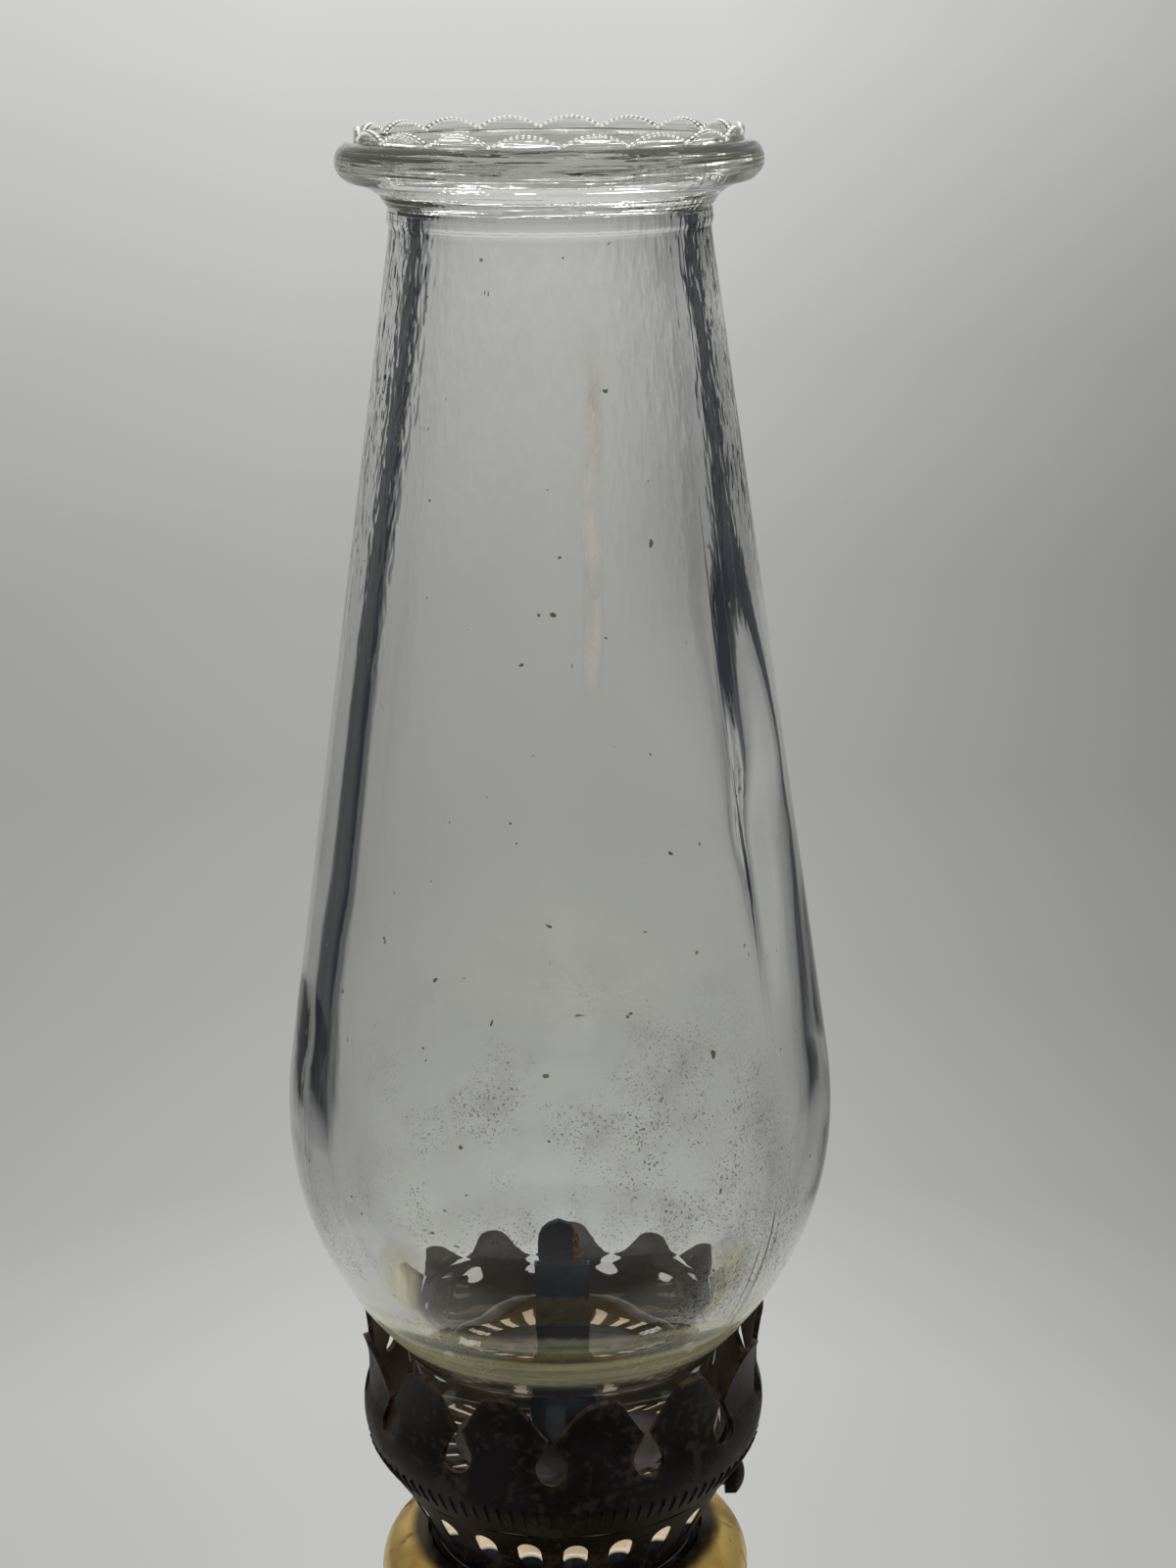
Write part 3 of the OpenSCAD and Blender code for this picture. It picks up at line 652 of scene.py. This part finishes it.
# %% Chimney mesh
def chimney_mesh():
    angle = np.linspace(0, 2 * math.pi, turns, endpoint=False)
    signed = (angle + math.pi) % (2 * math.pi) - math.pi
    rings = []

    def ring(radius, z):
        radius = np.broadcast_to(radius, angle.shape)
        z = np.broadcast_to(z, angle.shape) + glass_z
        rings.append(np.stack([radius * np.sin(angle), -radius * np.cos(angle), z], -1))

    for r, z in ((14.6, 0.0), (15.3, 0.0), (15.72, 0.18), (fitter_r, 0.6)):
        ring(r, z)
    for z in np.concatenate([np.arange(1.5, 12, 1.5), np.arange(12, 36, 0.8),
                             np.arange(36, 122, 1.6), np.arange(122, 124.6, 0.3)]):
        ring(wall_outside(z), z)
    flange_r, flange_z, bead = 17.7, 128.5, 1.9
    for r, z in ((15.25, 124.9), (15.6, 125.5), (16.5, 126.1), (17.4, 126.5)):
        ring(r, z)
    for a in np.radians(np.arange(-74, 82, 12)):
        ring(flange_r + bead * math.cos(a), flange_z + bead * math.sin(a))
    base, top = 130.25, glass_h - crimp_drop(signed)
    for r, share in ((17.8, 0.0), (17.75, 0.35), (17.75, 0.95), (17.6, 1.0), (17.05, 1.0),
                     (crimp_r, 0.95), (crimp_r, 0.35), (16.85, 0.0)):
        ring(r, base + share * (top - base))
    for r, z in ((15.95, 129.8), (15.6, 129.0), (mouth_r, 128.3)):
        ring(r, z)
    inner = np.concatenate([np.arange(127.5, 122, -0.8), np.arange(121.5, 36, -1.6),
                            np.arange(36, 3, -0.7), [2.1, 0.9]])
    for z in inner:
        depth = wall_depth(z, signed)
        if z > neck_z:
            share = (z - neck_z) / (flange_z - neck_z)
            ring((wall_outside(neck_z) - depth) * (1 - share) + mouth_r * share, z)
        else:
            ring(wall_outside(z) - depth, z)
    ring(wall_outside(0.9) - wall_depth(0.5, signed), 0.35)
    points = np.array(rings)
    faces = outward(points.reshape(-1, 3), grid_faces(len(rings), turns, close_rows=True))
    return points, faces


chimney_points, chimney_faces = chimney_mesh()
chimney = make_piece("chimney", chimney_points, chimney_faces, glass_finish, 38)
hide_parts("chimney_glass")
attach(chimney, "chimney")
print("chimney has", 2 * len(chimney_faces), "triangles")

# %% [markdown]
# A row of tiny glass beads follows the crimped edge. They are one bead instanced on the points
# of a ring, which is what Geometry Nodes does best. The helper below builds a tree with named
# inputs, runs it once, and keeps the result as a plain mesh.

# %% Running a Geometry Nodes tree once
def grow(name, build, values, finish):
    """Builds a tree, sets its inputs by identifier, evaluates it and keeps a plain mesh."""
    tree = bpy.data.node_groups.new(name + "_tree", "GeometryNodeTree")
    tree.interface.new_socket("Geometry", in_out="OUTPUT", socket_type="NodeSocketGeometry")
    sockets = {}
    for label, value in values.items():
        kind = "NodeSocketInt" if isinstance(value, int) else "NodeSocketFloat"
        sockets[label] = tree.interface.new_socket(label, in_out="INPUT", socket_type=kind)
    maker = Maker(tree)
    start = maker.node("NodeGroupInput")
    given = dict(zip(values, start))
    shape = build(maker, given)
    shape = maker.node("GeometryNodeRealizeInstances", {}, {0: shape})[0]
    shape = maker.node("GeometryNodeSetMaterial", {}, {0: shape, "Material": finish})[0]
    maker.node("NodeGroupOutput", {}, {0: shape})
    host = bpy.data.objects.new(name + "_host", bpy.data.meshes.new(name + "_host"))
    bpy.context.scene.collection.objects.link(host)
    modifier = host.modifiers.new("grow", "NODES")
    modifier.node_group = tree
    for label, value in values.items():
        modifier[sockets[label].identifier] = value
    bpy.context.view_layer.update()
    evaluated = host.evaluated_get(bpy.context.evaluated_depsgraph_get())
    mesh = bpy.data.meshes.new_from_object(evaluated)
    bpy.data.objects.remove(host)
    mesh.name = name
    mesh.shade_smooth()
    piece = bpy.data.objects.new(name, mesh)
    bpy.context.scene.collection.objects.link(piece)
    print(name, "has", len(mesh.polygons), "faces")
    return piece


# %% Beads on the crimped edge
# The beads are white and glow a little: a painted glint along the crimped edge.
bead_look = Finish("beads_with_painted_glint")
bead_finish = bead_look.finish(bead_look.principled(
    {"Base Color": (0.95, 0.95, 0.93, 1), "Roughness": 0.15, "Transmission Weight": 0.15,
     "Emission Color": (1.0, 0.99, 0.96, 1), "Emission Strength": 0.35}))


def bead_row(maker, given):
    """Beads on a ring whose height follows the scallops."""
    ring = maker.node("GeometryNodeMeshCircle", {},
                      {"Vertices": given["Beads"], "Radius": given["Radius"]})[0]
    place = maker.node("GeometryNodeInputPosition")[0]
    x, y, z = maker.node("ShaderNodeSeparateXYZ", {}, {0: place})
    angle = x.maths("ARCTAN2", y, x)
    phase = (angle - given["Turn"]) * given["Lobes"] / (2 * math.pi)
    off = phase.maths("FRACT", phase + 100.5) - 0.5
    drop = off * off * 4 * given["Scallop height"]
    lift = maker.node("ShaderNodeCombineXYZ", {}, {2: given["Height"] - drop})[0]
    ring = maker.node("GeometryNodeSetPosition", {}, {0: ring, "Offset": lift})[0]
    bead = maker.node("GeometryNodeMeshIcoSphere", {},
                      {"Radius": given["Bead radius"], "Subdivisions": 2})[0]
    return maker.node("GeometryNodeInstanceOnPoints", {}, {"Points": ring, "Instance": bead})[0]


beads = grow("crimp_beads", bead_row, {
    "Beads": 12 * lobes, "Lobes": lobes, "Radius": 17.3 * MM, "Height": (glass_top - 0.1) * MM,
    "Scallop height": lobe_h * MM, "Turn": peak_turn, "Bead radius": 0.17 * MM}, bead_finish)
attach(beads, "chimney")

# %% [markdown]
# The crown is thin sheet, cut flat and spun into a bowl, so it is made the same way. One petal
# is drawn flat, filled with triangles that keep its outline, and rolled onto the bowl's profile
# thirteen times. Each petal gets its own small bend, because real ones have been pushed about.

# %% Crown profile
petals, petal_turn = 13, math.radians(11)
crown_h = crown_top - crown_z
bowl_r, bowl_rad, bowl_z = 20.5, 7.6, crown_h - 9.5
waist_r, waist_rad, waist_z = 19.85, 16.6, crown_h - 4.6
bowl_lean = math.radians(31)
# The bowl turns out into the petals at flare_z, what lies above slit_z has cut edges, and a
# petal bends over its free_h.
flare_z, slit_z, free_h = crown_h - 7.0, crown_h - 9.6, 5.5
pitch = 2 * math.pi * waist_r / petals


def bowl_outside(z):
    """Outer radius of the crown at a height above its lower edge."""
    z = np.asarray(z, float)
    lean_z = bowl_z - bowl_rad * math.sin(bowl_lean)
    lean_r = bowl_r - bowl_rad + bowl_rad * math.cos(bowl_lean)
    cone = lean_r - (lean_z - z) * math.tan(bowl_lean)
    bowl = bowl_r - bowl_rad + np.sqrt(np.maximum(bowl_rad ** 2 - (z - bowl_z) ** 2, 0))
    flare = waist_r + waist_rad - np.sqrt(waist_rad ** 2 - (z - waist_z) ** 2)
    return np.where(z < lean_z, cone, np.where(z < flare_z, bowl, flare))


def petal_side(neck=0.35, steps=7):
    """Right-hand side of a petal from the slit's neck up to its rounded tip, as flat points."""
    half = pitch / 2 - neck
    z_low = crown_h - 4.5
    side = []
    for t in np.linspace(0, 1, steps):
        side.append((half * (1 - t) ** 0.9 + 2.0 * t ** 1.3, z_low + 3.5 * t))
    side += [(1.72, crown_h - 0.6), (1.25, crown_h - 0.24), (0.68, crown_h - 0.06), (0.2, crown_h)]
    return side


def petal_outline():
    """The whole outline of one petal's sector, counter-clockwise from its lower left corner."""
    hole_z, hole_r = crown_h - 7.2, 1.6
    right = [(pitch / 2, z) for z in np.linspace(0, hole_z - hole_r, 11)]
    for a in np.linspace(math.radians(-90), math.radians(28), 9)[1:]:
        right.append((pitch / 2 - hole_r * math.cos(a), hole_z + hole_r * math.sin(a)))
    right.append((pitch / 2 - 0.85, hole_z + 1.75))
    right += petal_side()
    left = [(-x, z) for x, z in reversed(right)]
    return right + left


outline = np.array(petal_outline())
print("a petal's outline has", len(outline), "points")

# %% Crown mesh
def gap_to(points, a, b):
    """Distance from each point to the nearest of the straight lines that run from a to b."""
    d = b - a
    t = np.clip(((points[:, None] - a) * d).sum(2) / (d * d).sum(1), 0, 1)
    return np.sqrt(((a + t[..., None] * d - points[:, None]) ** 2).sum(2)).min(1)


def flat_petal(step=0.62, margin=0.28):
    """Triangles that fill one petal's sector, with no inner point nearer its outline than margin."""
    edge = [Vector(p) for p in outline]
    n = len(edge)
    inside = []
    for z in np.arange(0.6, crown_h, step):
        for x in np.arange(-pitch / 2 + 0.5, pitch / 2 - 0.4, step):
            inside.append(Vector((x + 0.13 * math.sin(9 * z), z)))
    gaps = gap_to(np.array(inside), outline, np.roll(outline, -1, 0))
    kept = [point for point, gap in zip(inside, gaps) if gap > margin]
    made = geometry.delaunay_2d_cdt(edge + kept, [(i, (i + 1) % n) for i in range(n)],
                                    [], 1, 1e-5)
    return np.array([tuple(v) for v in made[0]]), [tuple(f) for f in made[2]]


def edge_nearness(points, reach=0.42):
    """1 at the cut edges above the bowl, falling to 0 over a short reach."""
    a, b = outline, np.roll(outline, -1, 0)
    cut = (a[:, 1] > slit_z) & (b[:, 1] > slit_z)
    return np.clip(1 - gap_to(points, a[cut], b[cut]) / reach, 0, 1)


def crown_mesh():
    flat, triangles = flat_petal()
    nearness = edge_nearness(flat)
    chance = np.random.default_rng(13)
    points, faces, edge = [], [], []
    for k in range(petals):
        centre = petal_turn + k * 2 * math.pi / petals
        lean_out, twist = chance.normal(0, 0.28), chance.normal(0, 0.30)
        sway = chance.normal(0, 0.22)
        x, z = flat.T
        up = np.clip((z - crown_h + free_h) / free_h, 0, 1)
        radius = bowl_outside(z) + up ** 2 * (lean_out + twist * x / 4)
        angle = centre + (x + sway * up ** 2) / waist_r
        points.append(np.stack([radius * np.sin(angle), -radius * np.cos(angle), z + crown_z], -1))
        faces += [tuple(i + k * len(flat) for i in t) for t in triangles]
        edge.append(nearness)
    piece = make_piece("crown", np.concatenate(points), faces, crown_finish)
    mark = piece.data.attributes.new("edge", "FLOAT", "POINT")
    mark.data.foreach_set("value", np.concatenate(edge).astype(np.float32))
    return piece


def keep_mesh(piece, sharp):
    """Applies a piece's modifiers by swapping in its evaluated mesh, smooth up to a sharp angle."""
    bpy.context.view_layer.update()
    evaluated = piece.evaluated_get(bpy.context.evaluated_depsgraph_get())
    mesh = bpy.data.meshes.new_from_object(evaluated)
    piece.modifiers.clear()
    piece.data = mesh
    mesh.shade_smooth()
    mesh.set_sharp_from_angle(angle=math.radians(sharp))


sheet_thick = 0.55
crown = crown_mesh()
weld = crown.modifiers.new("weld", "WELD")
weld.merge_threshold = 0.01 * MM
sheet = crown.modifiers.new("sheet", "SOLIDIFY")
sheet.thickness, sheet.offset, sheet.use_even_offset = sheet_thick * MM, -1, True
keep_mesh(crown, 40)
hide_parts("crown_shell")
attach(crown, "burner")
print("crown has", len(crown.data.polygons), "faces")

# %% [markdown]
# A band of fine upright ribs is rolled into the leaning wall at the foot of the crown. One rib
# is a stretched sphere, tipped to lie on the wall, and 96 of them stand round the ring.

# %% Ribs round the foot of the crown
def rib_band(maker, given):
    """Ribs on a ring, each tipped to the wall's lean and turned to face outwards."""
    def triple(x=0.0, y=0.0, z=0.0):
        return maker.node("ShaderNodeCombineXYZ", {}, {0: x, 1: y, 2: z})[0]

    def moved(shape, how, vector):
        return maker.node("GeometryNodeTransform", {}, {"Geometry": shape, how: vector})[0]

    ring = maker.node("GeometryNodeMeshCircle", {},
                      {"Vertices": given["Ribs"], "Radius": given["Radius"]})[0]
    ring = moved(ring, "Translation", triple(z=given["Height"]))
    rib = maker.node("GeometryNodeMeshUVSphere", {}, {"Segments": 8, "Rings": 7, "Radius": 1.0})[0]
    width = given["Rib width"]
    rib = moved(rib, "Scale", triple(width, width, given["Rib length"]))
    rib = moved(rib, "Rotation", triple(y=given["Lean"]))
    place = maker.node("GeometryNodeInputPosition")[0]
    x, y, z = maker.node("ShaderNodeSeparateXYZ", {}, {0: place})
    turn = triple(z=x.maths("ARCTAN2", y, x))
    return maker.node("GeometryNodeInstanceOnPoints", {},
                      {"Points": ring, "Instance": rib, "Rotation": turn})[0]


ribs_below_top, rib_sunk = 13.3, 0.05
ribs_r = float(bowl_outside(crown_h - ribs_below_top)) - rib_sunk
ribs = grow("crown_ribs", rib_band, {
    "Ribs": 96, "Radius": ribs_r * MM, "Height": (crown_top - ribs_below_top) * MM,
    "Rib width": 0.22 * MM, "Rib length": 1.45 * MM, "Lean": bowl_lean}, dark_finish)
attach(ribs, "burner")

# %% [markdown]
# The wick's mesh is a flat tube of cotton. Its surface is pushed in and out along two crossing
# sets of slanted lines, which reads as a plait. Above the tube the burnt head has shrunk a
# little and stands off to the left, and its top is rounded and ragged.

# %% Wick mesh
def wick_mesh():
    width, depth, round_h = 4.8, 1.3, 2.4
    shrink, set_left = 0.085, 0.34
    plait_x, plait_z, plait_h = 2.6, 3.2, 0.08
    heights = np.concatenate([np.arange(wick_low, wick_top - round_h - 0.2, 0.22),
                              wick_top - round_h * np.cos(np.linspace(0, math.pi / 2, 14))])
    turn = np.linspace(0, 2 * math.pi, 72, endpoint=False)
    chance = np.random.default_rng(4)
    rings = []
    for z in heights:
        over = max(0.0, (z - (wick_top - round_h)) / round_h)
        above = max(0.0, z - tube_top)
        shrunk = 1 - math.exp(-above / 1.2)
        half = width / 2 * math.sqrt(max(1 - over ** 2, 0.0004)) * (1 - shrink * shrunk)
        thick = depth / 2 * (1 - 0.25 * over ** 2)
        c, s = np.cos(turn), np.sin(turn)
        x = half * np.sign(c) * np.abs(c) ** 0.35
        y = thick * np.sign(s) * np.abs(s) ** 0.55
        plait = np.sin(x * plait_x + z * plait_z) * np.sin(x * plait_x - z * plait_z)
        swell = 1 + plait_h * plait
        ragged = chance.normal(0, 0.03, len(turn)) * min(1, above / 3)
        rings.append(np.stack([x + ragged - set_left * shrunk, y * swell - ragged,
                               np.full(len(turn), z)], -1))
    points = np.array(rings)
    faces = outward(points.reshape(-1, 3), grid_faces(len(rings), len(turn)))
    caps = [tuple(range(len(turn)))[::-1],
            tuple(range((len(rings) - 1) * len(turn), len(rings) * len(turn)))]
    return points, [tuple(f) for f in faces] + caps


wick_points, wick_faces = wick_mesh()
wick = make_piece("wick_braid", wick_points, wick_faces, wick_finish)
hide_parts("wick")
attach(wick, "wick")
print("wick rises to", round(float(wick_points[..., 2].max()), 2), "mm")

# %% [markdown]
# Every other piece keeps its imported mesh, and only its finish changes. The small dark pieces share
# one finish. The basket, the pan and the screw ring are bright inside, and glow a little there,
# which is painted light. The plate is shinier and is painted lighter and more violet, a painted
# reflection of the wick tube in its middle, and the tube is bluer.

# %% Finishes on the imported pieces
finish_of = {"air_plate": plate_finish, "air_basket": basket_finish, "burner_pan": basket_finish,
             "burner_screw": basket_finish, "wick_tube": tube_finish, "raiser_bracket": dark_finish,
             "spindle": dark_finish, "spur_wheel_left": dark_finish, "spur_wheel_right": dark_finish,
             "spindle_bush": dark_finish, "thumb_knob": dark_finish, "font_collar": yellow_finish,
             "font_upper_shell": yellow_finish, "font_lower_shell": yellow_finish,
             "stem_ring": yellow_finish, "foot_shell": yellow_finish, "base_plate": yellow_finish}
for name, finish in finish_of.items():
    slots = nodes[name].data.materials
    for n in range(len(slots)):
        slots[n] = finish
    if not slots:
        slots.append(finish)
print("dressed", len(finish_of), "packed pieces")
